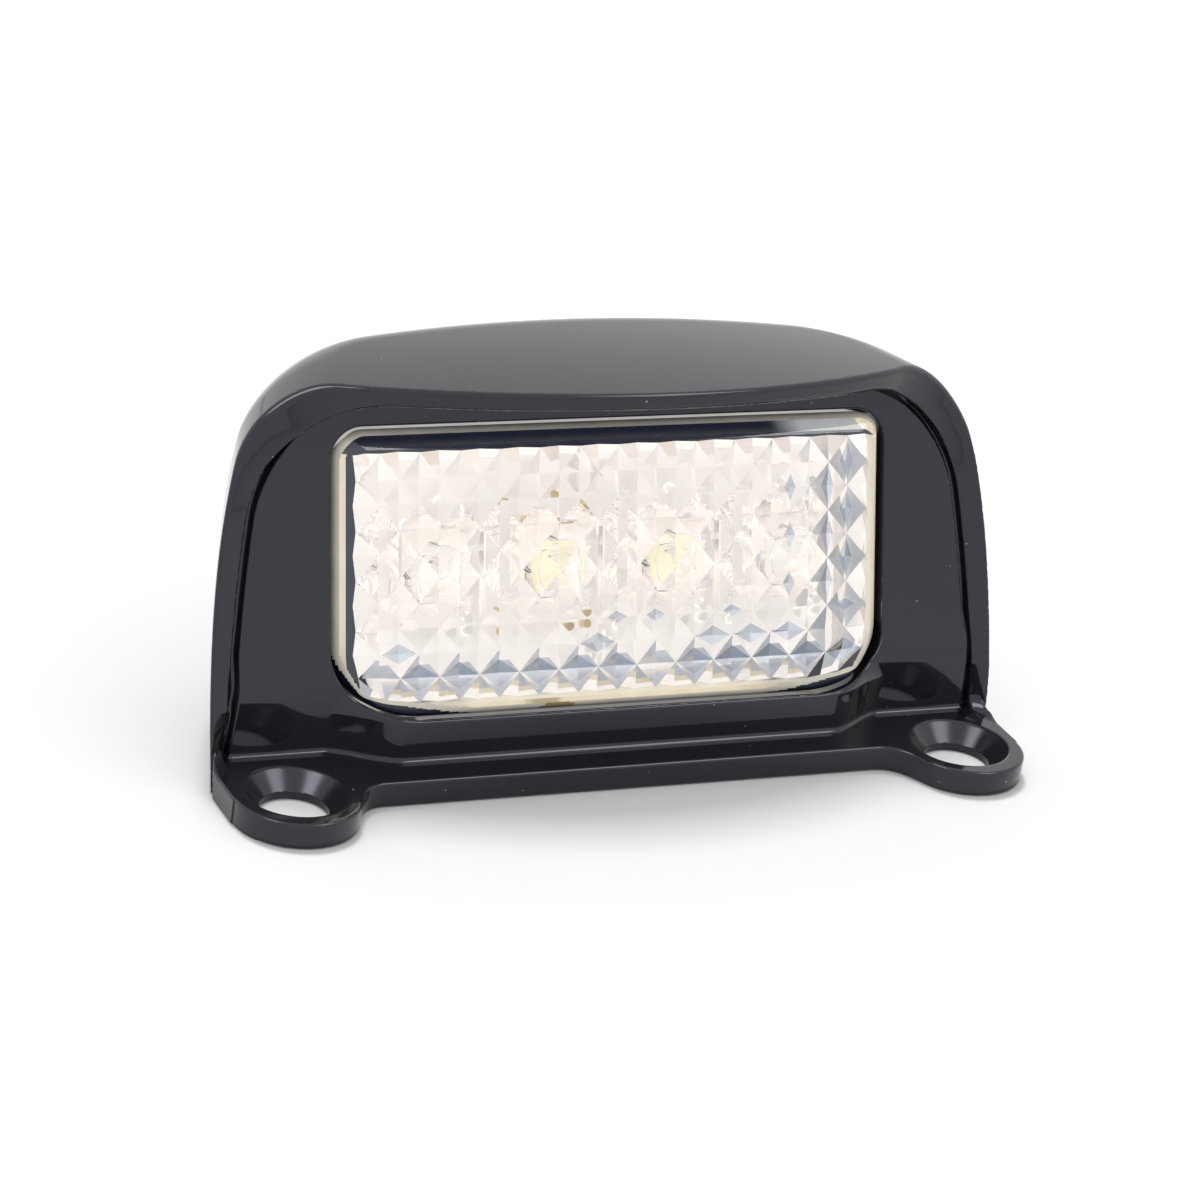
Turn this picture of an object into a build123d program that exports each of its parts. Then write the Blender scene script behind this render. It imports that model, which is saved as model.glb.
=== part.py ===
from build123d import *
import math
import os

os.makedirs("parts", exist_ok=True)

# ---------------------------------------------------------------- dimensions
# Number plate lamp, millimetres. The origin is midway between the two screw
# holes on the underside of the flange, the lens faces -Y and +Z is up.

# screw flange
hole_pitch = 56.0
hole_d = 5.2
csk_d = 8.0
flange_t = 2.05
flange_front_y = 0.15
flange_half_w = 33.1
ear_x, ear_y, ear_r = 28.12, -0.5, 4.86
ear_fillet = 2.6

# hood: leaning rim plane, side walls that close in towards the back, crown
rim_y0 = 3.5
rim_slope = 0.325
rim_x0 = 33.27
rim_narrowing = 1.6e-4
side_angle = math.radians(21.5)
back_y0 = 26.0
back_draft = 0.038
back_sag = 1.3
back_corner_r = 13.5
crown_y, crown_z = 11.2, 30.92
crown_ry = 115.0
crown_rx = 215.0
top_edge_r = 5.4
wall = 2.0

# visor and rim
visor_y = 4.58
visor_r = 48.7
rim_inner_x0 = 31.97
rim_inner_slope = 0.06
rim_inner_narrowing = 1.01e-4
visor_under_z = 29.3
rim_inner_corner_r = 8.0
groove_w, groove_top_w, groove_depth = 0.8, 0.3, 1.1

# front panel and chin
panel_y0, panel_z0 = 6.0, 5.9
panel_slope = 0.325
chin_y = 3.2
chin_half_w = 18.0
chin_end_x = 24.5
chin_top_z = 5.75

# lens and lamp case, in a frame that leans back with the panel
lean = math.radians(17.9)
lens_y, lens_z = 9.54, 14.84
lens_w, lens_h, lens_r = 46.3, 21.7, 3.4
lens_front, lens_back = 1.6, -2.2
lens_end_r = 2.5
lens_pocket = -0.2
lens_gap = 0.2
lens_pocket_w, lens_pocket_h = 43.8, 19.4
facet_u0, facet_v0 = 0.2, -0.5
facet_pitch_x, facet_pitch_v = 3.3, 3.76
facet_depth = 0.45
facet_field_w, facet_field_h = 42.9, 18.8
case_depth = 7.0
case_wall = 1.0
case_taper = 18.0

# electronics
board_w, board_h, board_t, board_r = 40.6, 16.6, 1.2, 1.5
board_front = -4.0
led_pitch = 10.0
led_u0, led_v0 = 1.0, -0.5
led_side = 7.6
led_body_t = 1.9
led_dome_r = 1.9
lead_x, lead_v, lead_r = 2.54, 4.15, 0.35
screw_u, screw_v = 15.0, 12.4
post_v = 6.9
grommet_u, grommet_v = 17.0, -4.6

# ------------------------------------------------------------ derived frames
n_out = (0.0, -math.cos(lean), math.sin(lean))
e_up = (0.0, math.sin(lean), math.cos(lean))
lens_plane = Plane(origin=(0, lens_y, lens_z), x_dir=(1, 0, 0), z_dir=n_out)
board_back = board_front - board_t
case_front = lens_back
case_back = case_front - case_depth
floor_in = case_back + 1.0
led_us = [led_u0 + (i - 1.5) * led_pitch for i in range(4)]
lead_spots = [(u + a * lead_x, led_v0 + b * lead_v) for u in led_us for a in (-1, 1) for b in (-1, 1)]


def at(w):
    """The leaning plane, moved outward by w."""
    return lens_plane.offset(w)


def plan_points(z, inset):
    """Half width and depth of the hood's plan outline at height z."""
    y_rim = rim_y0 + rim_slope * z
    x_rim = rim_x0 - rim_narrowing * max(z, 0.0) ** 3 - inset / math.cos(side_angle)
    y_back = back_y0 - back_draft * z - inset
    t = math.tan(side_angle)
    x_front = x_rim + t * (y_rim + 9.0)
    x_corner = x_rim - t * (y_back - back_sag - y_rim)
    return x_front, x_corner, y_back


def rim_loop(side_in, top_in, corner_r, z_low):
    """Line along the rim's inner edge, moved in by the given amounts."""

    def half(z):
        return rim_inner_x0 - rim_inner_slope * z - rim_inner_narrowing * z**3 - side_in

    top = visor_under_z - top_in
    z_mid = 15.0
    z_high = top - half(27.3) ** 2 / (2 * crown_rx)
    with BuildSketch(Plane.XZ) as loop:
        with BuildLine():
            ThreePointArc((half(z_low), z_low), (half(z_mid), z_mid), (half(z_high), z_high))
            ThreePointArc((half(z_high), z_high), (0, top), (-half(z_high), z_high))
            ThreePointArc((-half(z_high), z_high), (-half(z_mid), z_mid), (-half(z_low), z_low))
            Line((-half(z_low), z_low), (half(z_low), z_low))
        make_face()
        fillet(loop.vertices().sort_by(Axis.Y)[-2:], corner_r)
    return loop.sketch


# ------------------------------------------------------- hood, outer envelope
hood_levels = (0.0, 8.0, 16.0, 24.0, 33.0)
with BuildPart() as hood_outer:
    for z in hood_levels:
        xf, xc, yb = plan_points(z, 0.0)
        with BuildSketch(Plane.XY.offset(z)) as outline:
            with BuildLine():
                Polyline((-xc, yb - back_sag), (-xf, -9), (xf, -9), (xc, yb - back_sag))
                ThreePointArc((xc, yb - back_sag), (0, yb), (-xc, yb - back_sag))
            make_face()
            fillet(outline.vertices().sort_by(Axis.Y)[-2:], back_corner_r)
    loft()
    with BuildSketch(
        Plane(
            origin=(0, crown_y, crown_z - crown_ry),
            x_dir=(1, 0, 0),
            z_dir=(0, -math.cos(math.radians(20)), math.sin(math.radians(20))),
        )
    ):
        drop = 48.0**2 / (2 * crown_rx)
        with BuildLine():
            ThreePointArc((-48, crown_ry - drop), (0, crown_ry), (48, crown_ry - drop))
            Polyline((48, crown_ry - drop), (48, crown_ry + 15), (-48, crown_ry + 15), (-48, crown_ry - drop))
        make_face()
    revolve(
        axis=Axis((0, crown_y, crown_z - crown_ry), (1, 0, 0)),
        revolution_arc=40,
        mode=Mode.SUBTRACT,
    )
    top = hood_outer.faces().sort_by(Axis.Z)[-1]
    fillet(top.edges().sort_by(Axis.Y)[1:], top_edge_r)

# ------------------------------------------------------ hood, hollow underneath
with BuildPart() as hollow:
    for z in (-2.0,) + hood_levels[1:]:
        xf, xc, yb = plan_points(z, wall)
        with BuildSketch(Plane.XY.offset(z)) as outline:
            with BuildLine():
                Polyline((-xc, yb - back_sag), (-xf, -9), (xf, -9), (xc, yb - back_sag))
                ThreePointArc((xc, yb - back_sag), (0, yb), (-xc, yb - back_sag))
            make_face()
            fillet(outline.vertices().sort_by(Axis.Y)[-2:], back_corner_r - wall)
    loft()
    with BuildSketch(
        Plane(
            origin=(0, crown_y, crown_z - crown_ry),
            x_dir=(1, 0, 0),
            z_dir=(0, -math.cos(math.radians(20)), math.sin(math.radians(20))),
        )
    ):
        inner_r = crown_ry - wall
        drop = 48.0**2 / (2 * crown_rx)
        with BuildLine():
            ThreePointArc((-48, inner_r - drop), (0, inner_r), (48, inner_r - drop))
            Polyline((48, inner_r - drop), (48, inner_r + 15), (-48, inner_r + 15), (-48, inner_r - drop))
        make_face()
    revolve(
        axis=Axis((0, crown_y, crown_z - crown_ry), (1, 0, 0)),
        revolution_arc=40,
        mode=Mode.SUBTRACT,
    )
    top = hollow.faces().sort_by(Axis.Z)[-1]
    fillet(top.edges().sort_by(Axis.Y)[1:], top_edge_r - wall)
    # only the space behind the front panel is hollow
    back_of_panel = panel_y0 + wall * math.hypot(1.0, panel_slope)
    with BuildSketch(Plane.YZ):
        with BuildLine():
            Polyline(
                (back_of_panel, -3),
                (back_of_panel, panel_z0),
                (back_of_panel + panel_slope * (36 - panel_z0), 36),
                (40, 36),
                (40, -3),
                (back_of_panel, -3),
            )
        make_face()
    extrude(amount=60, both=True, mode=Mode.INTERSECT)

# --------------------------------------- space in front of the rim and the visor
with BuildPart() as front_space:
    with BuildSketch(Plane.YZ):
        with BuildLine():
            Polyline(
                (-30, -1),
                (rim_y0 - rim_slope, -1),
                (rim_y0 + 40 * rim_slope, 40),
                (-30, 40),
                (-30, -1),
            )
        make_face()
    extrude(amount=60, both=True)
    with Locations((0, visor_y + visor_r, 0)):
        Cylinder(visor_r, 120, mode=Mode.SUBTRACT)

# -------------------------------------------- recess inside the rim, down to the panel
with BuildPart() as recess:
    add(rim_loop(0.0, 0.0, rim_inner_corner_r, flange_t))
    extrude(amount=60, both=True, dir=(0, 1, 0))
    with BuildSketch(Plane.YZ):
        with BuildLine():
            Polyline(
                (-40, flange_t),
                (panel_y0, flange_t),
                (panel_y0, panel_z0),
                (panel_y0 + panel_slope * (36 - panel_z0), 36),
                (-40, 36),
                (-40, flange_t),
            )
        make_face()
    extrude(amount=60, both=True, mode=Mode.INTERSECT)

# ------------------------------------- groove between the rim and the panel
with BuildPart() as groove:
    add(rim_loop(0.0, 0.0, rim_inner_corner_r, flange_t))
    extrude(amount=60, both=True, dir=(0, 1, 0))
    add(rim_loop(groove_w, groove_top_w, rim_inner_corner_r - 0.5, -5.0))
    extrude(amount=60, both=True, dir=(0, 1, 0), mode=Mode.SUBTRACT)
    with BuildSketch(Plane.YZ):
        floor_y = panel_y0 + groove_depth
        with BuildLine():
            Polyline(
                (-40, flange_t),
                (floor_y, flange_t),
                (floor_y, panel_z0),
                (floor_y + panel_slope * (36 - panel_z0), 36),
                (-40, 36),
                (-40, flange_t),
            )
        make_face()
    extrude(amount=60, both=True, mode=Mode.INTERSECT)

# ================================================================== housing
with BuildPart() as housing:
    add(hood_outer.part)
    add(front_space.part, mode=Mode.SUBTRACT)
    add(recess.part, mode=Mode.SUBTRACT)
    add(groove.part, mode=Mode.SUBTRACT)
    # screw flange with its two ears
    with BuildSketch() as flange_plan:
        with BuildLine():
            Polyline(
                (-flange_half_w, ear_y),
                (flange_half_w, ear_y),
                (flange_half_w, 4.4),
                (31.2, 8.0),
                (-31.2, 8.0),
                (-flange_half_w, 4.4),
                (-flange_half_w, ear_y),
            )
        make_face()
        with Locations((0, flange_front_y - 5)):
            Rectangle(2 * ear_x, 10, mode=Mode.SUBTRACT)
        with Locations((-ear_x, ear_y), (ear_x, ear_y)):
            Circle(ear_r)
        inner = flange_plan.vertices().filter_by(
            lambda v: abs(v.Y - flange_front_y) < 0.01 and 22 < abs(v.X) < 25
        )
        fillet(inner, ear_fillet)
    extrude(amount=flange_t)
    # chin in front of the panel
    with BuildSketch():
        with BuildLine():
            Line((-chin_half_w, chin_y), (chin_half_w, chin_y))
            Spline(
                (chin_half_w, chin_y),
                (0.5 * (chin_half_w + chin_end_x), 0.5 * (chin_y + panel_y0)),
                (chin_end_x, panel_y0),
                tangents=[(1, 0), (1, 0)],
            )
            Polyline((chin_end_x, panel_y0), (chin_end_x, 8.1), (-chin_end_x, 8.1), (-chin_end_x, panel_y0))
            Spline(
                (-chin_end_x, panel_y0),
                (-0.5 * (chin_half_w + chin_end_x), 0.5 * (chin_y + panel_y0)),
                (-chin_half_w, chin_y),
                tangents=[(1, 0), (1, 0)],
            )
        make_face()
    extrude(amount=chin_top_z)
    add(hollow.part, mode=Mode.SUBTRACT)
    # bosses for the case screws behind the brow
    with BuildSketch(at(-3.0)):
        with Locations((-screw_u, screw_v), (screw_u, screw_v)):
            Circle(2.2)
    extrude(amount=2.4)
    # lens opening
    with BuildSketch(at(-3.3)):
        RectangleRounded(lens_w + 2 * lens_gap, lens_h + 2 * lens_gap, lens_r + lens_gap)
    extrude(amount=12.3, mode=Mode.SUBTRACT)
    # pilot holes
    with BuildSketch(at(-3.2)):
        with Locations((-screw_u, screw_v), (screw_u, screw_v)):
            Circle(0.85)
    extrude(amount=2.8, mode=Mode.SUBTRACT)
    # countersunk screw holes
    with Locations((-hole_pitch / 2, 0, flange_t), (hole_pitch / 2, 0, flange_t)):
        CounterSinkHole(hole_d / 2, csk_d / 2, flange_t + 1, 90)
housing.part.label = "housing"
export_step(housing.part, "parts/housing.step")

# ===================================================================== lens
step = math.hypot(facet_pitch_x / 2, facet_pitch_v / 2)
groove_pitch = facet_pitch_x * facet_pitch_v / (2 * step)
groove_half = 0.476 * groove_pitch
face_origin = lens_plane.from_local_coords((facet_u0, facet_v0, lens_pocket))
groove_sets = []
for side in (-1, 1):
    du, dv = side * facet_pitch_x / 2 / step, facet_pitch_v / 2 / step
    along = Vector(du, dv * e_up[1], dv * e_up[2])
    across = Vector(-dv, du * e_up[1], du * e_up[2])
    with BuildPart() as grooves:
        with BuildSketch(Plane(origin=face_origin, x_dir=across, z_dir=along)):
            for k in range(-11, 12):
                c = (k + 0.5) * groove_pitch
                with BuildLine():
                    Polyline(
                        (c - groove_half, -0.3),
                        (c + groove_half, -0.3),
                        (c + groove_half, 0),
                        (c, facet_depth),
                        (c - groove_half, 0),
                        (c - groove_half, -0.3),
                    )
                make_face()
        extrude(amount=40, both=True)
        with BuildSketch(at(lens_pocket - 1)):
            with Locations((facet_u0, facet_v0)):
                Rectangle(facet_field_w, facet_field_h)
        extrude(amount=3, mode=Mode.INTERSECT)
    groove_sets.append(grooves.part)

with BuildPart() as lens:
    # section across the lens: flat face, ends that curve back into the opening
    with BuildSketch(
        Plane(origin=lens_plane.from_local_coords((0, lens_h / 2, 0)), x_dir=(1, 0, 0), z_dir=e_up)
    ) as section:
        with Locations((0, -(lens_front + lens_back) / 2)):
            Rectangle(lens_w, lens_front - lens_back)
        fillet(section.vertices().group_by(Axis((0, 0, 0), n_out))[-1], lens_end_r)
    extrude(amount=-lens_h)
    with BuildSketch(at(lens_back)):
        RectangleRounded(lens_w, lens_h, lens_r)
    extrude(amount=lens_front - lens_back, mode=Mode.INTERSECT)
    # pocket over the LEDs, with the facets in its roof
    with BuildSketch(at(lens_back)):
        with Locations((facet_u0, facet_v0)):
            RectangleRounded(lens_pocket_w, lens_pocket_h, 1.6)
    extrude(amount=lens_pocket - lens_back, mode=Mode.SUBTRACT)
    for cut in groove_sets:
        add(cut, mode=Mode.SUBTRACT)
lens.part.label = "lens"
export_step(lens.part, "parts/lens.step")

# ================================================================ lamp case
with BuildPart() as lamp_case:
    with BuildSketch(at(case_front)):
        RectangleRounded(lens_w, lens_h, lens_r)
    extrude(amount=-case_depth, taper=case_taper)
    with BuildSketch(at(case_front)):
        RectangleRounded(lens_w - 2 * case_wall, lens_h - 2 * case_wall, lens_r - case_wall)
    extrude(amount=-(case_depth - 1.0), taper=case_taper, mode=Mode.SUBTRACT)
    # screw lugs on the top
    with BuildSketch(at(-4.4)):
        with Locations((-screw_u, 11.1), (screw_u, 11.1)):
            Rectangle(4.6, 2.6)
        with Locations((-screw_u, screw_v), (screw_u, screw_v)):
            Circle(2.3)
            Circle(1.0, mode=Mode.SUBTRACT)
    extrude(amount=1.4)
    # posts under the board
    with BuildSketch(at(floor_in)):
        with Locations((0, -post_v), (0, post_v)):
            Circle(1.4)
    extrude(amount=board_back - floor_in)
    with BuildSketch(at(board_back)):
        with Locations((0, -post_v), (0, post_v)):
            Circle(0.6)
    extrude(amount=-1.3, mode=Mode.SUBTRACT)
    # cable inlet
    with BuildSketch(at(floor_in + 0.2)):
        with Locations((grommet_u, grommet_v)):
            Circle(2.2)
    extrude(amount=-1.6, mode=Mode.SUBTRACT)
lamp_case.part.label = "lamp_case"
export_step(lamp_case.part, "parts/lamp_case.step")

# ============================================================ circuit board
with BuildPart() as circuit_board:
    with BuildSketch(at(board_back)):
        RectangleRounded(board_w, board_h, board_r)
        with Locations(*lead_spots):
            Circle(lead_r + 0.08, mode=Mode.SUBTRACT)
        with Locations((0, -post_v), (0, post_v)):
            Circle(0.75, mode=Mode.SUBTRACT)
        with Locations((grommet_u - 1.3, 5.6), (grommet_u + 1.3, 5.6)):
            Circle(0.5, mode=Mode.SUBTRACT)
    extrude(amount=board_t)
circuit_board.part.label = "circuit_board"
export_step(circuit_board.part, "parts/circuit_board.step")

# ============================================================== LED bodies
for number, u in enumerate(led_us, start=1):
    with BuildPart() as led_body:
        with BuildSketch(at(board_front)):
            with Locations((u, led_v0)):
                RectangleRounded(led_side, led_side, 0.5)
        extrude(amount=led_body_t)
        chamfer(led_body.faces().sort_by(Axis((0, 0, 0), n_out))[-1].edges(), 0.25)
        # lens dome on the body
        with BuildSketch(at(board_front + led_body_t - 0.3)):
            with Locations((u, led_v0)):
                Circle(led_dome_r)
        extrude(amount=0.9)
        fillet(led_body.faces().sort_by(Axis((0, 0, 0), n_out))[-1].edges(), 0.55)
        # cup for the phosphor
        with BuildSketch(at(board_front)):
            with Locations((u, led_v0)):
                Circle(1.6)
        extrude(amount=1.0, taper=-8, mode=Mode.SUBTRACT)
    led_body.part.label = f"led_{number}"
    export_step(led_body.part, f"parts/led_{number}.step")

with BuildPart() as led_phosphors:
    with BuildSketch(at(board_front)):
        with Locations(*[(u, led_v0) for u in led_us]):
            Circle(1.45)
    extrude(amount=0.7)
led_phosphors.part.label = "led_phosphors"
export_step(led_phosphors.part, "parts/led_phosphors.step")

with BuildPart() as led_leads:
    with BuildSketch(at(board_front + 1.1)):
        with Locations(*lead_spots):
            Circle(lead_r - 0.02)
    extrude(amount=-(1.1 + board_t + 0.9))
led_leads.part.label = "led_leads"
export_step(led_leads.part, "parts/led_leads.step")

with BuildPart() as solder_joints:
    with BuildSketch(at(board_back)):
        with Locations(*lead_spots):
            Circle(0.85)
    extrude(amount=-0.6, taper=32)
    with BuildSketch(at(board_back)):
        with Locations(*lead_spots):
            Circle(lead_r)
    extrude(amount=-1.0, mode=Mode.SUBTRACT)
solder_joints.part.label = "solder_joints"
export_step(solder_joints.part, "parts/solder_joints.step")

# ==================================================== parts behind the board
with BuildPart() as resistors:
    with BuildSketch(at(board_back)):
        with Locations((-17.5, 0), (-10, 0), (0, 0), (10, 0)):
            Rectangle(1.6, 3.2)
    extrude(amount=-0.55)
    chamfer(resistors.edges().filter_by(lens_plane), 0.06)
resistors.part.label = "resistors"
export_step(resistors.part, "parts/resistors.step")

with BuildPart() as diode:
    with BuildSketch(at(board_back)):
        with Locations((17.4, 1.6)):
            Rectangle(2.7, 1.6)
    extrude(amount=-1.05, taper=5)
    with BuildSketch(at(board_back)):
        with Locations((17.4, 1.6)):
            Rectangle(3.7, 0.7)
    extrude(amount=-0.3)
diode.part.label = "diode"
export_step(diode.part, "parts/diode.step")

with BuildPart() as suppressor:
    with BuildSketch(at(board_back)):
        with Locations((10.2, -6.4)):
            Rectangle(2.8, 1.8)
    extrude(amount=-1.0, taper=5)
    with BuildSketch(at(board_back)):
        with Locations((10.2, -6.4)):
            Rectangle(3.8, 1.0)
    extrude(amount=-0.3)
suppressor.part.label = "suppressor"
export_step(suppressor.part, "parts/suppressor.step")

with BuildPart() as capacitors:
    with BuildSketch(at(board_back)):
        with Locations((-10.2, 6.3), (10.2, 6.3)):
            Rectangle(2.0, 1.25)
    extrude(amount=-1.0)
    chamfer(capacitors.edges().filter_by(lens_plane), 0.08)
capacitors.part.label = "capacitors"
export_step(capacitors.part, "parts/capacitors.step")

with BuildPart() as regulator:
    with BuildSketch(at(board_back)):
        with Locations((-10.2, -6.2)):
            Rectangle(2.9, 1.3)
    extrude(amount=-1.1, taper=5)
    with BuildSketch(at(board_back)):
        with Locations((-11.15, -7.05), (-9.25, -7.05), (-10.2, -5.35)):
            Rectangle(0.45, 0.9)
    extrude(amount=-0.35)
regulator.part.label = "regulator"
export_step(regulator.part, "parts/regulator.step")

with BuildPart() as wire_terminals:
    with BuildSketch(at(board_front + 0.3)):
        with Locations((grommet_u - 1.3, 5.6), (grommet_u + 1.3, 5.6)):
            Circle(0.45)
    extrude(amount=-(0.3 + board_t + 1.0))
    with BuildSketch(at(board_back)):
        with Locations((grommet_u - 1.3, 5.6), (grommet_u + 1.3, 5.6)):
            Circle(0.8)
    extrude(amount=-0.4)
wire_terminals.part.label = "wire_terminals"
export_step(wire_terminals.part, "parts/wire_terminals.step")

# ==================================================================== screws
with BuildPart() as board_screws:
    with BuildSketch(at(board_front)):
        with Locations((0, -post_v), (0, post_v)):
            Circle(1.2)
    extrude(amount=0.8)
    fillet(board_screws.faces().group_by(Axis((0, 0, 0), n_out))[-1].edges(), 0.3)
    with BuildSketch(at(board_front + 0.8)):
        with Locations((0, -post_v), (0, post_v)):
            Rectangle(1.4, 0.32)
            Rectangle(0.32, 1.4)
    extrude(amount=-0.4, mode=Mode.SUBTRACT)
    with BuildSketch(at(board_front)):
        with Locations((0, -post_v), (0, post_v)):
            Circle(0.6)
    extrude(amount=-(board_t + 1.1))
board_screws.part.label = "board_screws"
export_step(board_screws.part, "parts/board_screws.step")

with BuildPart() as case_screws:
    with BuildSketch(at(-4.4)):
        with Locations((-screw_u, screw_v), (screw_u, screw_v)):
            Circle(1.6)
    extrude(amount=-1.2)
    fillet(case_screws.faces().group_by(Axis((0, 0, 0), n_out))[0].edges(), 0.45)
    with BuildSketch(at(-5.6)):
        with Locations((-screw_u, screw_v), (screw_u, screw_v)):
            Rectangle(1.8, 0.4)
            Rectangle(0.4, 1.8)
    extrude(amount=0.6, mode=Mode.SUBTRACT)
    with BuildSketch(at(-4.4)):
        with Locations((-screw_u, screw_v), (screw_u, screw_v)):
            Circle(0.85)
    extrude(amount=3.7)
case_screws.part.label = "case_screws"
export_step(case_screws.part, "parts/case_screws.step")

# ============================================================= cable grommet
with BuildPart() as cable_grommet:
    with BuildSketch(at(floor_in)):
        with Locations((grommet_u, grommet_v)):
            Circle(2.9)
    extrude(amount=0.7)
    with BuildSketch(at(floor_in)):
        with Locations((grommet_u, grommet_v)):
            Circle(2.2)
    extrude(amount=-1.0)
    with BuildSketch(at(case_back)):
        with Locations((grommet_u, grommet_v)):
            Circle(2.9)
    extrude(amount=-1.4, taper=15)
    with BuildSketch(at(floor_in + 1)):
        with Locations((grommet_u, grommet_v)):
            Circle(1.3)
    extrude(amount=-6, mode=Mode.SUBTRACT)
cable_grommet.part.label = "cable_grommet"
export_step(cable_grommet.part, "parts/cable_grommet.step")
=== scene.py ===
import math

import bpy
import numpy as np
from mathutils import Matrix, Vector
from mathutils.geometry import delaunay_2d_cdt


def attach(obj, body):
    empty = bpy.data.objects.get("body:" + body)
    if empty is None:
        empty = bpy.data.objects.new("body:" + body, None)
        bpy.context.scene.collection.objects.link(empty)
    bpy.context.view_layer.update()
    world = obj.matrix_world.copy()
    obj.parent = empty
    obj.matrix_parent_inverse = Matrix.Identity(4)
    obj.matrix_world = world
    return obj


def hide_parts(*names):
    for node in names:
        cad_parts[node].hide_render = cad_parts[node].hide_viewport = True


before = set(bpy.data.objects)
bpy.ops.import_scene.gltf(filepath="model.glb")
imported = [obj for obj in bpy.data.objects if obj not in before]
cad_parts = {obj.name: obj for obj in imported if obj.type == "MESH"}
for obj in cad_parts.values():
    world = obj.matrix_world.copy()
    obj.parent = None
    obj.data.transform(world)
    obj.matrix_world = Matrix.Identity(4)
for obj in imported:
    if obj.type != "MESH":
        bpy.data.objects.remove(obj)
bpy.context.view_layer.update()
MM = 0.001

# ------------------------------------------------------------------ dimensions
# millimetres, in the frame of the CAD model: origin midway between the screw
# holes on the underside, lens towards -Y, +Z up
LEAN = math.radians(17.9)
SL, CL = math.sin(LEAN), math.cos(LEAN)
LENS_Y, LENS_Z = 9.54, 14.84
TAN_SIDE = math.tan(math.radians(21.5))


def to_world(u, v, w):
    """Leaning lens frame to the object's frame."""
    return np.stack([u, LENS_Y + v * SL - w * CL, LENS_Z + v * CL + w * SL], axis=-1)


# ------------------------------------------------- housing as a distance field
def r_int(a, b, r):
    """Intersection with a rounded edge."""
    u = np.maximum(a + r, 0)
    v = np.maximum(b + r, 0)
    return np.minimum(np.maximum(a, b), -r) + np.sqrt(u * u + v * v)


def r_uni(a, b, r):
    """Union with a filleted corner."""
    u = np.maximum(r - a, 0)
    v = np.maximum(r - b, 0)
    return np.maximum(np.minimum(a, b), r) - np.sqrt(u * u + v * v)


def s_max(a, b, k):
    d = np.maximum(k - np.abs(a - b), 0)
    return np.maximum(a, b) + d * d / (4 * k)


def smooth(t):
    t = np.clip(t, 0, 1)
    return t * t * (3 - 2 * t)


def rim_half(z):
    """Half width of the hood's front edge at height z."""
    zz = np.maximum(z, 0)
    return 33.27 - 1.6e-4 * zz * zz * zz


def hood(ax, y, z):
    """Outer envelope: closing side walls, back wall, crowned top."""
    zz = np.maximum(z, 0)
    rise = 4.8e-4 * zz * zz - 0.325 * TAN_SIDE
    side = (ax - rim_half(z) + TAN_SIDE * (y - 3.5 - 0.325 * z)) / np.sqrt(1 + TAN_SIDE ** 2 + rise * rise)
    back = (y - 26.0 + 0.038 * z + 0.0025 * ax * ax) / np.sqrt(1 + (0.005 * ax) ** 2)
    wall = r_int(side, back, 7.6)
    top = np.sqrt((y - 11.2) ** 2 + (z + 84.1) ** 2) - 115.0 + ax * ax / 430.0
    return r_int(wall, top, 5.4), side


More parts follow.
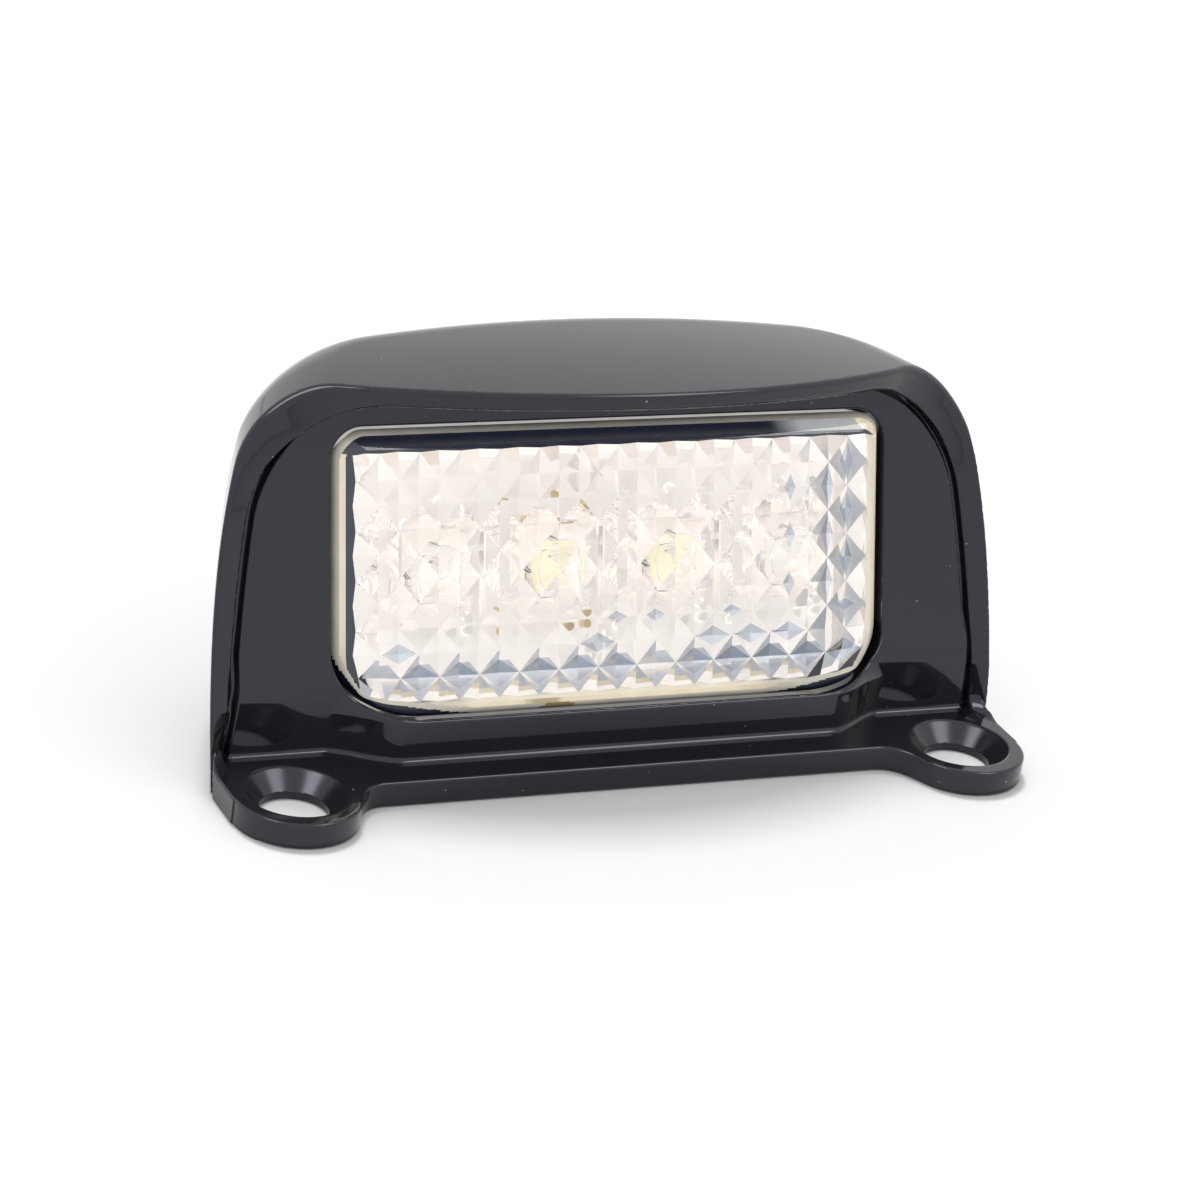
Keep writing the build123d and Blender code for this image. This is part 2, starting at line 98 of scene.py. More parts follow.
def housing_field(x, y, z):
    ax = np.abs(x)
    env, side = hood(ax, y, z)
    # rim that leans back and faces slightly inwards, and the visor that
    # bulges out of it
    tilt = 0.302 * (1 - smooth((z - 20.0) / 6.0))
    tilt = tilt + 0.232 * np.maximum(5.9 - np.clip(z, 1.5, 9.0), 0)
    lip = (3.5 + 0.325 * z + tilt * (rim_half(z) - ax) - y) / np.sqrt(1.106 + tilt * tilt)
    visor = np.sqrt(ax * ax + (y - 53.28) ** 2) - 48.7
    # inner edge of the rim, seen from the front
    zz = np.maximum(z, 0)
    in_side = (ax - 31.97 + 0.06 * zz + 1.01e-4 * zz * zz * zz) / np.sqrt(1 + (0.06 + 3.03e-4 * zz * zz) ** 2)
    in_top = z - 29.3 + ax * ax / 430.0
    inside = r_int(in_side, in_top, 8.0)
    # front panel: upright foot, leaning face, chin with an S-shaped plan
    panel = (5.75 + smooth((z - 6.4) / 3.4) * (0.25 + 0.325 * (z - 5.9)) - y) / 1.06
    t = np.clip((ax - 18.0) / 6.5, 0, 1)
    foot = 3.2 + 2.8 * t * t * (3 - 2 * t)
    slope = 2.8 * 6 * t * (1 - t) / 6.5
    chin = r_int((foot - y) / np.sqrt(1 + slope * slope), (z - 5.7 - 1.0 * (y - foot)) * 0.7071, 0.35)
    fade = 0.8 * (1 - smooth((ax - 21.5) / 2.7)) + 0.02
    face = r_uni(panel, chin, fade)
    front = np.minimum(r_uni(lip, visor, 2.4), np.maximum(inside + 0.3, face - 0.6))
    shell = r_int(env, front, 0.35 + 0.35 * smooth((ax - 22.0) / 4.0) * smooth((z - 21.0) / 4.0))
    edge = 0.12 + 0.4 * smooth((z - 24.0) / 3.0)
    body = r_int(shell, r_uni(-inside, face, 0.1), edge)
    step = np.maximum(np.maximum(face, env + 1.0), np.maximum(ax - 26.0, np.maximum(z - 9.0, y - 12.0)))
    body = np.minimum(body, step)
    # groove between the rim and the panel
    gap = 0.36 + 0.22 * smooth((27.0 - z) / 6.0)
    deep = 0.9 - 0.2 * smooth((z - 7.0) / 6.0) - 1.1 * smooth((z - 25.0) / 2.0)
    groove = r_int(np.abs(inside + gap / 2) - gap / 2, -face - deep, gap * 0.45)
    body = r_int(body, -groove, 0.16)
    # screw flange
    ear = np.sqrt((ax - 28.12) ** 2 + (y + 0.5) ** 2) - 4.85
    strip = np.maximum(0.15 - y, ax - 28.12)
    outer = np.maximum(np.maximum(ax - 33.1, 28.12 - ax), -0.5 - y)
    plan = np.minimum(r_uni(ear, strip, 2.6), outer)
    plan = np.maximum(plan, np.maximum(y - 7.5, side + 0.25 * smooth((y - 2.0) / 2.0)))
    flange = r_int(plan, np.abs(z - 1.025) - 1.025, 0.22)
    body = r_uni(body, flange, 0.42 - 0.34 * smooth((ax - 31.0) / 0.8))
    # fillet that carries the rim down onto the flange
    heel = r_uni(lip, (z - 2.05), 1.3)
    heel = r_int(heel, np.maximum(np.maximum(side, plan), -in_side - 0.05), 0.25)
    body = np.minimum(body, np.maximum(heel, z - 6.0))
    # countersunk holes
    rad = np.sqrt((ax - 28.0) ** 2 + y * y)
    hole = np.minimum(rad - 2.6, np.maximum((rad - 1.95 - z) * 0.7071, rad - 4.2))
    hole = np.maximum(hole, z - 3.0)
    body = r_int(body, -hole, 0.14)
    # hollow behind the panel
    behind = np.maximum(8.1 - y, (8.1 + 0.325 * (z - 5.9) - y) / 1.0515)
    hollow = np.maximum(env + 2.0, behind)
    body = r_int(body, -hollow, 0.25)
    # bosses for the case screws
    v = (y - LENS_Y) * SL + (z - LENS_Z) * CL
    w = -(y - LENS_Y) * CL + (z - LENS_Z) * SL
    boss_r = np.sqrt((ax - 15.0) ** 2 + (v - 12.4) ** 2)
    boss = np.maximum(np.maximum(boss_r - 2.2, -3.0 - w), w + 0.6)
    body = np.minimum(body, boss)
    # lens opening, its sill rising to the chin's edge
    hv = 11.05 - 0.05 * np.maximum(w, 0) * (v < 0)
    qu = ax - (23.35 - 2.6)
    qv = np.abs(v) - (hv - 2.6)
    rect = np.minimum(np.maximum(qu, qv), 0) + np.sqrt(np.maximum(qu, 0) ** 2 + np.maximum(qv, 0) ** 2) - 2.6
    # long round lower corners
    ea = np.maximum(ax - (23.35 - 6.9), 0) / 6.9
    eb = np.maximum(-v - (hv - 5.05), 0) / 5.05
    es = np.sqrt(ea * ea + eb * eb)
    slow = (es - 1) * es / np.maximum(np.sqrt((ea / 6.9) ** 2 + (eb / 5.05) ** 2), 1e-6)
    rect = np.where((ea > 0) & (eb > 0), slow, rect)
    cut = np.maximum(rect, np.maximum(-3.3 - w, w - 9.0))
    body = r_int(body, -cut, 0.3)
    pilot = np.maximum(np.maximum(boss_r - 0.85, -3.3 - w), w + 0.4)
    body = np.maximum(body, -pilot)
    return r_int(body, -z, 0.12)


def steps(*runs):
    """Grid lines: (start, end, step) runs joined end to end."""
    out = []
    for a, b, h in runs:
        n = max(1, int(round((b - a) / h)))
        out.append(np.linspace(a, b, n, endpoint=False))
    out.append(np.array([runs[-1][1]]))
    return np.concatenate(out)


def surface_net(field, xs, ys, zs):
    """Quad mesh of the zero level of a field on a rectilinear grid."""
    nx, ny, nz = len(xs), len(ys), len(zs)
    val = np.empty((nx, ny, nz), np.float32)
    half = nx // 2
    for i in range(half, nx, 12):
        j = min(i + 12, nx)
        val[i:j] = field(xs[i:j, None, None], ys[None, :, None], zs[None, None, :])
    val[:half] = val[nx - half:][::-1]
    inside = val < 0
    cells = np.zeros((nx - 1, ny - 1, nz - 1), np.int8)
    for a in (0, 1):
        for b in (0, 1):
            for c in (0, 1):
                cells += inside[a:nx - 1 + a, b:ny - 1 + b, c:nz - 1 + c]
    active = (cells > 0) & (cells < 8)
    ci, cj, ck = np.nonzero(active)
    index = np.full(active.shape, -1, np.int32)
    index[ci, cj, ck] = np.arange(len(ci))
    total = np.zeros((len(ci), 3))
    count = np.zeros(len(ci))
    grid = (xs, ys, zs)
    for axis in range(3):
        for p in (0, 1):
            for q in (0, 1):
                o0 = [0, 0, 0]
                others = [k for k in range(3) if k != axis]
                o0[others[0]], o0[others[1]] = p, q
                o1 = list(o0)
                o1[axis] = 1
                f0 = val[ci + o0[0], cj + o0[1], ck + o0[2]]
                f1 = val[ci + o1[0], cj + o1[1], ck + o1[2]]
                hit = (f0 < 0) != (f1 < 0)
                s = np.where(hit, f0 / np.where(hit, f0 - f1, 1), 0)
                base = np.stack([xs[ci + o0[0]], ys[cj + o0[1]], zs[ck + o0[2]]], 1)
                here = (ci, cj, ck)[axis]
                span = grid[axis][here + 1] - grid[axis][here]
                base[:, axis] += s * span
                total += base * hit[:, None]
                count += hit
    verts = total / count[:, None]
    quads = []
    for axis in range(3):
        lo = [slice(None)] * 3
        hi = [slice(None)] * 3
        lo[axis] = slice(0, -1)
        hi[axis] = slice(1, None)
        a, b = inside[tuple(lo)], inside[tuple(hi)]
        for flip, cross in ((False, a & ~b), (True, ~a & b)):
            e = list(np.nonzero(cross))
            p, q = (axis + 1) % 3, (axis + 2) % 3
            size = (nx, ny, nz)
            keep = (e[p] > 0) & (e[p] < size[p] - 1) & (e[q] > 0) & (e[q] < size[q] - 1)
            e = [k[keep] for k in e]
            ring = []
            for dp, dq in ((-1, -1), (0, -1), (0, 0), (-1, 0)):
                c = [k.copy() for k in e]
                c[p] = c[p] + dp
                c[q] = c[q] + dq
                ring.append(index[c[0], c[1], c[2]])
            ring = np.stack(ring if not flip else ring[::-1], 1)
            quads.append(ring)
    quads = np.concatenate(quads)
    quads = quads[(quads >= 0).all(1)]
    return verts, quads


def gradient(field, p, e=0.012):
    g = np.empty_like(p)
    for k in range(3):
        d = np.zeros(3)
        d[k] = e
        g[:, k] = field(*(p + d).T) - field(*(p - d).T)
    return g / (2 * e)


def settle(field, p, rounds=3):
    for _ in range(rounds):
        f = field(*p.T)
        g = gradient(field, p)
        n2 = np.maximum((g * g).sum(1), 0.25)
        step = np.clip(f / n2, -0.25, 0.25)
        p = p - step[:, None] * g
    return p


def relax(p, quads, rounds=1):
    for _ in range(rounds):
        acc = np.zeros_like(p)
        cnt = np.zeros(len(p))
        for k in range(4):
            a, b = quads[:, k], quads[:, (k + 1) % 4]
            for c in range(3):
                acc[:, c] += np.bincount(a, p[b, c], len(p)) + np.bincount(b, p[a, c], len(p))
            cnt += np.bincount(a, minlength=len(p)) + np.bincount(b, minlength=len(p))
        p = 0.6 * p + 0.4 * acc / np.maximum(cnt, 1)[:, None]
    return p


def new_object(name, verts, faces, normals=None, smooth_faces=True):
    mesh = bpy.data.meshes.new(name)
    mesh.from_pydata((np.asarray(verts) * MM).tolist(), [], np.asarray(faces).tolist() if isinstance(faces, np.ndarray) else faces)
    mesh.validate()
    mesh.update()
    if smooth_faces:
        mesh.polygons.foreach_set("use_smooth", np.ones(len(mesh.polygons), bool))
    if normals is not None and len(mesh.vertices) == len(normals):
        mesh.normals_split_custom_set_from_vertices(normals.tolist())
    obj = bpy.data.objects.new(name, mesh)
    bpy.context.scene.collection.objects.link(obj)
    return obj


xs_half = steps((0.175, 17.5, 0.38), (17.5, 25.0, 0.22), (25.0, 33.6, 0.17))
xs = np.concatenate([-xs_half[::-1], xs_half])
ys = steps((-5.7, 7.0, 0.17), (7.0, 14.0, 0.24), (14.0, 26.5, 0.5))
zs = steps((-0.25, 2.6, 0.14), (2.6, 6.4, 0.17), (6.4, 24.0, 0.3), (24.0, 31.4, 0.17))
hv, hq = surface_net(housing_field, xs, ys, zs)
hv = settle(housing_field, hv, 3)
hv = settle(housing_field, relax(hv, hq, 2), 3)
# thin the mesh out where it is flat, then put its points back on the surface
dense = new_object("housing_dense", hv / MM, hq)
thin = dense.modifiers.new("thin", "DECIMATE")
thin.ratio = 0.5
sparse = bpy.data.meshes.new_from_object(dense.evaluated_get(bpy.context.evaluated_depsgraph_get()))
sparse.calc_loop_triangles()
hv = np.empty(3 * len(sparse.vertices))
sparse.vertices.foreach_get("co", hv)
hq = np.empty(3 * len(sparse.loop_triangles), np.int32)
sparse.loop_triangles.foreach_get("vertices", hq)
hv, hq = hv.reshape(-1, 3), hq.reshape(-1, 3)
dense_mesh = dense.data
bpy.data.objects.remove(dense)
bpy.data.meshes.remove(dense_mesh)
bpy.data.meshes.remove(sparse)
hv = settle(housing_field, hv, 2)
hn = gradient(housing_field, hv)
hn /= np.maximum(np.linalg.norm(hn, axis=1), 1e-9)[:, None]
housing = new_object("housing_shell", hv, hq, hn)
print("housing triangles", len(hq))

# ------------------------------------------------------------------------ lens
LENS_W, LENS_H, LENS_R = 46.3, 21.7, 2.4
PITCH_U, ROW_V = 3.3, 1.88
FIELD_U, FIELD_V = 13 * PITCH_U / 2, 5 * ROW_V
OFF_U, OFF_V = 0.2, -0.5
ROOF, VALLEY, BOTTOM = -0.2, 0.25, -2.2
# the navy and slate colours are painted shade: the dark inside of the lamp seen through the lens
CREAM, NAVY_PAINTED_SHADE = (0.82, 0.775, 0.675), (0.012, 0.016, 0.036)
SLATE_PAINTED_SHADE, PEARL = (0.32, 0.385, 0.49), (1.0, 0.975, 0.955)
OCHRE = (0.40, 0.33, 0.15)


def ring_points(a, b, r, n_u=108, n_v=90, n_c=14):
    """Rectangle with round top corners, anticlockwise, the same count at every size."""
    out = []
    q = min(r, 0.4)
    corners = [(a - r, b - r, 0, r), (-(a - r), b - r, 90, r), (-(a - q), -(b - q), 180, q), (a - q, -(b - q), 270, q)]
    for k, (cx, cy, deg, rad) in enumerate(corners):
        for i in range(n_c + 1):
            t = math.radians(deg + 90 * i / n_c)
            out.append((cx + rad * math.cos(t), cy + rad * math.sin(t)))
        nx, ny, ndeg, nrad = corners[(k + 1) % 4]
        p0 = out[-1]
        t = math.radians(ndeg)
        p1 = (nx + nrad * math.cos(t), ny + nrad * math.sin(t))
        n = n_u if k % 2 == 0 else n_v
        for i in range(1, n):
            out.append((p0[0] + (p1[0] - p0[0]) * i / n, p0[1] + (p1[1] - p0[1]) * i / n))
    return np.array(out)


def lens_front(u, v, d):
    """Height of the lens face: flat, ends and long edges that curve back."""
    a = np.clip(np.abs(u) - 20.65, 0, 2.499)
    ends = 2.5 - np.sqrt(2.5 ** 2 - a * a)
    a = np.clip(v - LENS_H / 2 + 2.6, 0, 2.6)
    brow = 3.5 - np.sqrt(3.5 ** 2 - a * a)
    a = np.clip(-v - LENS_H / 2 + 0.8, 0, 0.8)
    sill = 1.8 - np.sqrt(1.8 ** 2 - a * a)
    e = np.clip(0.3 - d, 0, 0.3)
    w = 1.6 - np.sqrt(ends ** 2 + brow ** 2 + sill ** 2)
    return w - (0.3 - np.sqrt(np.maximum(0.3 ** 2 - e * e, 0)))


def soften(u, v):
    """Draws the lower corners of the lens in to quarter ellipses."""
    a = max((abs(u) - 16.3) / 6.85, 0)
    b = max((-v - 5.85) / 5.0, 0)
    a, b = a * math.sqrt(1 - b * b / 2), b * math.sqrt(1 - a * a / 2)
    if a > 0 and b > 0:
        u = math.copysign(16.3 + 6.85 * a, u)
        v = -5.85 - 5.0 * b
    return u, v


lens_v, lens_f, lens_kind, lens_tint = [], [], [], []
# seal faces carry the seal's cream and painted navy shade; edge faces carry the pale strip and painted dark shade at
# the lower corners
CLEAR, SEAL_AND_SHADE, FACET, EDGE_AND_SHADE = 0, 1, 2, 3


def mix_rgb(a, b, t):
    t = min(max(t, 0.0), 1.0)
    return tuple(p + (q - p) * t for p, q in zip(a, b))


def seal_and_shade_colour(u, v):
    """Colour of the seal behind the lens border at a point of its rim: cream with an ochre mark, and along the top a
    band of painted navy shade that turns grey at the right as a painted reflection.
    """
    if v > 8.6 and abs(u) < 21.6:
        return mix_rgb(NAVY_PAINTED_SHADE, (0.42, 0.45, 0.50), (u - 14.0) / 2.5)
    if v < -9.9 and abs(u + 5.4) < 1.3:
        return OCHRE
    return CREAM


def corner(u, v):
    """1 at the two lower corners of the lens, fading out along its edge; it places painted dark shade there."""
    return min(max((abs(u) - 12.0) / 6.0, 0), 1) * min(max((-5.6 - v) / 3.6, 0), 1)


def skirt(u, v):
    """Colour of the lens wall: pale, with painted dark shade at the two lower corners."""
    return mix_rgb(CREAM, NAVY_PAINTED_SHADE, 4 * corner(u, v))


def add_face(ids, kind=CLEAR, colour_and_painted_shade=None):
    lens_f.append(tuple(ids))
    lens_kind.append(kind)
    lens_tint.append(colour_and_painted_shade)


def add_ring(uv, w):
    start = len(lens_v)
    w = np.broadcast_to(w, (len(uv),))
    lens_v.extend([(p[0], p[1], h) for p, h in zip(uv, w)])
    return list(range(start, start + len(uv)))


def bridge(lower, upper, kind=CLEAR, paint=None):
    n = len(lower)
    for i in range(n):
        j = (i + 1) % n
        ids = (lower[i], lower[j], upper[j], upper[i])
        add_face(ids, kind, [paint(*lens_v[k][:2]) for k in ids] if paint else None)


def edge_strip(lower, upper, d):
    """Edge of the lens: an opaque pale strip, outside it a crescent of painted dark shade at each lower corner."""
    n = len(lower)
    for i in range(n):
        j = (i + 1) % n
        ids = (lower[i], lower[j], upper[j], upper[i])
        t = corner(*lens_v[ids[0]][:2])
        if d <= 0.85 * t:
            add_face(ids, EDGE_AND_SHADE, [NAVY_PAINTED_SHADE] * 4)
        elif d <= 0.45 + 0.8 * t:
            u, v = lens_v[ids[0]][:2]
            add_face(ids, EDGE_AND_SHADE, [OCHRE if v < -9.9 and abs(u + 5.4) < 1.5 - 0.8 * d else CREAM] * 4)
        else:
            add_face(ids)


insets = [0, 0.02, 0.07, 0.14, 0.22, 0.32, 0.45, 0.52, 0.6, 0.68, 0.76, 0.84, 0.92, 1.0, 1.1, 1.2, 1.5, 1.8, 2.1, 2.5, 3.0, 4.0, 5.5, 7.0, 8.5, 9.8, 10.5]
base = ring_points(LENS_W / 2, LENS_H / 2, LENS_R)
bottom_ring = add_ring(base, BOTTOM)
wall_top = add_ring(base, lens_front(base[:, 0], base[:, 1], 0.0))
bridge(bottom_ring, wall_top, SEAL_AND_SHADE, skirt)
last = wall_top
for d in insets[1:]:
    uv = ring_points(LENS_W / 2 - d, LENS_H / 2 - d, max(LENS_R - d, 0.2))
    now = add_ring(uv, lens_front(uv[:, 0], uv[:, 1], d))
    if d <= 1.25:
        edge_strip(last, now, d)
    else:
        bridge(last, now)
    last = now
# close the middle strip of the face
add_face(last)

# underside: rim, pocket wall, roof with diamond facets
pocket = ring_points(21.9, 9.7, 0.5) + np.array([OFF_U, OFF_V])
rim_in = add_ring(pocket, BOTTOM)
roof_ring = add_ring(pocket, ROOF)
bridge(roof_ring, rim_in, SEAL_AND_SHADE, seal_and_shade_colour)
bridge(rim_in, bottom_ring, SEAL_AND_SHADE, seal_and_shade_colour)

lattice = {}


def node(u, v, w):
    key = (round(u / (PITCH_U / 2)), round(v / ROW_V))
    if key not in lattice:
        lattice[key] = len(lens_v)
        lens_v.append((u + OFF_U, v + OFF_V, w))
    return lattice[key]


spokes = {}


def between(a, b, t):
    """Point part of the way along a facet edge, shared by its two facets."""
    if (a, b) not in spokes:
        spokes[(a, b)] = len(lens_v)
        lens_v.append(tuple(p + (q - p) * t for p, q in zip(lens_v[a], lens_v[b])))
    return spokes[(a, b)]


def chance(*k):
    """Repeatable number between 0 and 1 for a facet."""
    h = 2166136261
    for q in k:
        h = ((h ^ (int(q) + 7919)) * 16777619) & 0xFFFFFFFF
        h ^= h >> 13
    return (h & 0xFFFF) / 65535.0


def facet_painted_shade(i, j, su, sv):
    """Pearly colour of one facet with painted shade by its slope: some slopes lighter, others darker, with a random
    tone on top.
    """
    base = {(1, 1): 0.92, (-1, 1): 1.0, (-1, -1): 0.95, (1, -1): 0.82}[(su, sv)]
    g = base * (1.0 - 0.2 * chance(su, i, sv, j))
    return tuple(g * c for c in PEARL)


def painted_shade_heart(i, j):
    """Reach across and up of the painted slate shade at the heart of a pyramid, or None; it falls along the bottom rows
    and the right columns.
    """
    h = chance(i, j)
    if abs(i) >= cols or abs(j) >= rows:
        return None
    if j == -4 and h < (0.95 if i > -9 else 0.5):
        return 0.93, 0.56
    if j == -3 and h < (0.9 if i > -3 else 0.25):
        return 0.86, 0.42
    if j == -2 and i > -2 and h < 0.45:
        return 0.5, 0.25
    if i >= 11 and h < 0.8:
        return 0.34, 0.8
    if i >= 9 and h < 0.3:
        return 0.3, 0.55
    return None


rows, cols = 5, 13
edge_nodes = set()
for j in range(-rows - 1, rows + 2):
    for i in range(-cols - 2, cols + 3):
        if (i + j) % 2:
            continue
        # diamond centred on a lattice point of the even set
        cu, cv = i * PITCH_U / 2, j * ROW_V
        for su, sv in ((1, 1), (-1, 1), (-1, -1), (1, -1)):
            mu, mv = cu + su * PITCH_U / 6, cv + sv * ROW_V / 3
            if abs(mu) > FIELD_U or abs(mv) > FIELD_V:
                continue
            apex = node(cu, cv, ROOF)
            cor_u = node(cu + su * PITCH_U / 2, cv, VALLEY)
            cor_v = node(cu, cv + sv * ROW_V, VALLEY)
            pearl = facet_painted_shade(i, j, su, sv)
            heart = painted_shade_heart(i, j)
            turn = 1 if su * sv < 0 else -1
            if heart is None:
                add_face((apex, cor_u, cor_v)[::turn], FACET, [pearl] * 3)
                continue
            at_u = between(apex, cor_u, heart[0])
            at_v = between(apex, cor_v, heart[1])
            # painted slate shade, darker on the upper facets and lighter on the lower ones, with a random tone
            g = (0.8 if sv > 0 else 1.15) * (0.75 + 0.6 * chance(j, i, sv, su))
            add_face((apex, at_u, at_v)[::turn], FACET, [tuple(g * c for c in SLATE_PAINTED_SHADE)] * 3)
            add_face((at_u, cor_u, cor_v, at_v)[::turn], FACET, [pearl] * 4)

# border of the facet field, walked once round
walk = []
for i in range(-cols, cols):
    walk.append((i, -rows))
for j in range(-rows, rows):
    walk.append((cols, j))
for i in range(cols, -cols, -1):
    walk.append((i, rows))
for j in range(rows, -rows, -1):
    walk.append((-cols, j))
border_low = []
for i, j in walk:
    key = (i, j)
    k = lattice[key]
    if abs(lens_v[k][2] - ROOF) < 1e-6:
        border_low.append(k)
    else:
        border_low.append(len(lens_v))
        lens_v.append((i * PITCH_U / 2 + OFF_U, j * ROW_V + OFF_V, ROOF))
m = len(walk)
for a in range(m):
    b = (a + 1) % m
    ha, hb = lattice[walk[a]], lattice[walk[b]]
    la, lb = border_low[a], border_low[b]
    face = [q for k, q in enumerate((ha, hb, lb, la)) if q not in (ha, hb, lb, la)[:k]]
    if len(face) >= 3:
        add_face(face, FACET, [PEARL] * len(face))
# flat roof between the facet field and the pocket wall
pts = [Vector(lens_v[k][:2]) for k in border_low] + [Vector(lens_v[k][:2]) for k in roof_ring]
src = border_low + roof_ring
edges = [(a, (a + 1) % m) for a in range(m)] + [(m + a, m + (a + 1) % len(roof_ring)) for a in range(len(roof_ring))]
cv2, ce2, cf2, ov, oe, of2 = delaunay_2d_cdt(pts, edges, [], 0, 1e-5)
back_map = [src[o[0]] if o else None for o in ov]
for f in cf2:
    c = sum((cv2[k] for k in f), Vector((0, 0))) / len(f)
    if abs(c.x - OFF_U) < FIELD_U and abs(c.y - OFF_V) < FIELD_V:
        continue
    ids = [back_map[k] for k in f]
    if None in ids:
        continue
    # navy on the top and left margins of the roof is painted shade; elsewhere the seal's cream
    shade = NAVY_PAINTED_SHADE if c.x < OFF_U - FIELD_U or c.y > OFF_V + FIELD_V else CREAM
    add_face(reversed(ids), SEAL_AND_SHADE, [shade] * len(ids))

lv = np.array([(*soften(u, v), w) for u, v, w in lens_v])
lens = new_object("lens_clear", to_world(lv[:, 0], lv[:, 1], lv[:, 2]), lens_f, smooth_faces=True)
assert len(lens.data.polygons) == len(lens_f)
# per-corner colour of the lens: the seal's cream and ochre, and painted shade in navy, slate and the facets' shading by
# slope
colour_and_painted_shade = lens.data.color_attributes.new("colour_and_painted_shade", "FLOAT_COLOR", "CORNER")
colours = []
for kind, shades, ids in zip(lens_kind, lens_tint, lens_f):
    for k in range(len(ids)):
        colours.extend((*(shades[k] if shades else (0.99, 0.99, 0.985)), 1.0))
colour_and_painted_shade.data.foreach_set("color", np.array(colours, np.float32))
lens.data.polygons.foreach_set("material_index", np.array([{SEAL_AND_SHADE: 1, EDGE_AND_SHADE: 2}.get(k, 0) for k in lens_kind], np.int32))
lens.data.polygons.foreach_set("use_smooth", np.array([k in (CLEAR, EDGE_AND_SHADE) for k in lens_kind], bool))
lens.data.set_sharp_from_angle(angle=math.radians(24))
lens.data.polygons.foreach_set("use_smooth", np.array([k in (CLEAR, EDGE_AND_SHADE) for k in lens_kind], bool))

# ------------------------------------------------------------------- materials
def material(name):
    m = bpy.data.materials.new(name)
    m.use_nodes = True
    nt = m.node_tree
    return m, nt, nt.nodes["Principled BSDF"]


def link(nt, a, ai, b, bi):
    nt.links.new(a.outputs[ai], b.inputs[bi])


def noise(nt, scale, detail=3.0, rough=0.5):
    tc = nt.nodes.new("ShaderNodeTexCoord")
    n = nt.nodes.new("ShaderNodeTexNoise")
    n.inputs["Scale"].default_value = scale
    n.inputs["Detail"].default_value = detail
    n.inputs["Roughness"].default_value = rough
    link(nt, tc, "Object", n, "Vector")
    return n


def ramp(nt, src, out, stops):
    r = nt.nodes.new("ShaderNodeValToRGB")
    while len(r.color_ramp.elements) < len(stops):
        r.color_ramp.elements.new(0.5)
    for e, (pos, col) in zip(r.color_ramp.elements, stops):
        e.position = pos
        e.color = (*col, 1.0)
    link(nt, src, out, r, "Fac")
    return r


def span(nt, src, out, lo, hi, a, b):
    r = nt.nodes.new("ShaderNodeMapRange")
    r.inputs["From Min"].default_value = lo
    r.inputs["From Max"].default_value = hi
    r.inputs["To Min"].default_value = a
    r.inputs["To Max"].default_value = b
    link(nt, src, out, r, "Value")
    return r


def bump(nt, src, out, strength, distance):
    b = nt.nodes.new("ShaderNodeBump")
    b.inputs["Strength"].default_value = strength
    b.inputs["Distance"].default_value = distance
    link(nt, src, out, b, "Height")
    return b


# black gloss moulding with a few specks of dust
m_black, nt, p = material("black_gloss_moulding")
n1 = noise(nt, 90.0, 4.0, 0.55)
c = ramp(nt, n1, "Fac", [(0.3, (0.0080, 0.0074, 0.0098)), (0.7, (0.0110, 0.0102, 0.0130))])
tc = nt.nodes.new("ShaderNodeTexCoord")
vor = nt.nodes.new("ShaderNodeTexVoronoi")
vor.inputs["Scale"].default_value = 640.0
link(nt, tc, "Object", vor, "Vector")
near = span(nt, vor, "Distance", 0.03, 0.06, 1.0, 0.0)
pick = nt.nodes.new("ShaderNodeSeparateColor")
link(nt, vor, "Color", pick, "Color")
some = span(nt, pick, "Red", 0.55, 0.95, 0.0, 1.0)
speck = nt.nodes.new("ShaderNodeMath")
speck.operation = "MULTIPLY"
link(nt, near, "Result", speck, 0)
link(nt, some, "Result", speck, 1)
dust = nt.nodes.new("ShaderNodeMix")
dust.data_type = "RGBA"
link(nt, speck, "Value", dust, 0)
nt.links.new(c.outputs["Color"], dust.inputs[6])
dust.inputs[7].default_value = (0.34, 0.34, 0.36, 1.0)
nt.links.new(dust.outputs[2], p.inputs["Base Color"])
n2 = noise(nt, 260.0, 3.0, 0.6)
r = span(nt, n2, "Fac", 0.3, 0.7, 0.045, 0.075)
# the countersinks are duller than the moulded skin
xyz = nt.nodes.new("ShaderNodeSeparateXYZ")
link(nt, tc, "Object", xyz, "Vector")
off = nt.nodes.new("ShaderNodeMath")
off.operation = "ABSOLUTE"
link(nt, xyz, "X", off, 0)
off2 = nt.nodes.new("ShaderNodeMath")
off2.operation = "SUBTRACT"
off2.inputs[1].default_value = 28.0 * MM
link(nt, off, "Value", off2, 0)
flat = nt.nodes.new("ShaderNodeCombineXYZ")
link(nt, off2, "Value", flat, "X")
link(nt, xyz, "Y", flat, "Y")
dist = nt.nodes.new("ShaderNodeVectorMath")
dist.operation = "LENGTH"
link(nt, flat, "Vector", dist, 0)
sink = span(nt, dist, "Value", 3.95 * MM, 4.05 * MM, 1.0, 0.0)
low = span(nt, xyz, "Z", 2.0 * MM, 2.06 * MM, 1.0, 0.0)
cone = nt.nodes.new("ShaderNodeMath")
cone.operation = "MULTIPLY"
link(nt, sink, "Result", cone, 0)
link(nt, low, "Result", cone, 1)
dull = nt.nodes.new("ShaderNodeMath")
dull.operation = "MULTIPLY_ADD"
link(nt, cone, "Value", dull, 0)
dull.inputs[1].default_value = 0.16
link(nt, r, "Result", dull, 2)
link(nt, dull, "Value", p, "Roughness")
p.inputs["IOR"].default_value = 1.535
# the bluish colour of the reflections is the colour of the studio light painted into them
p.inputs["Specular Tint"].default_value = (0.885, 0.872, 1.0, 1.0)
housing.data.materials.append(m_black)

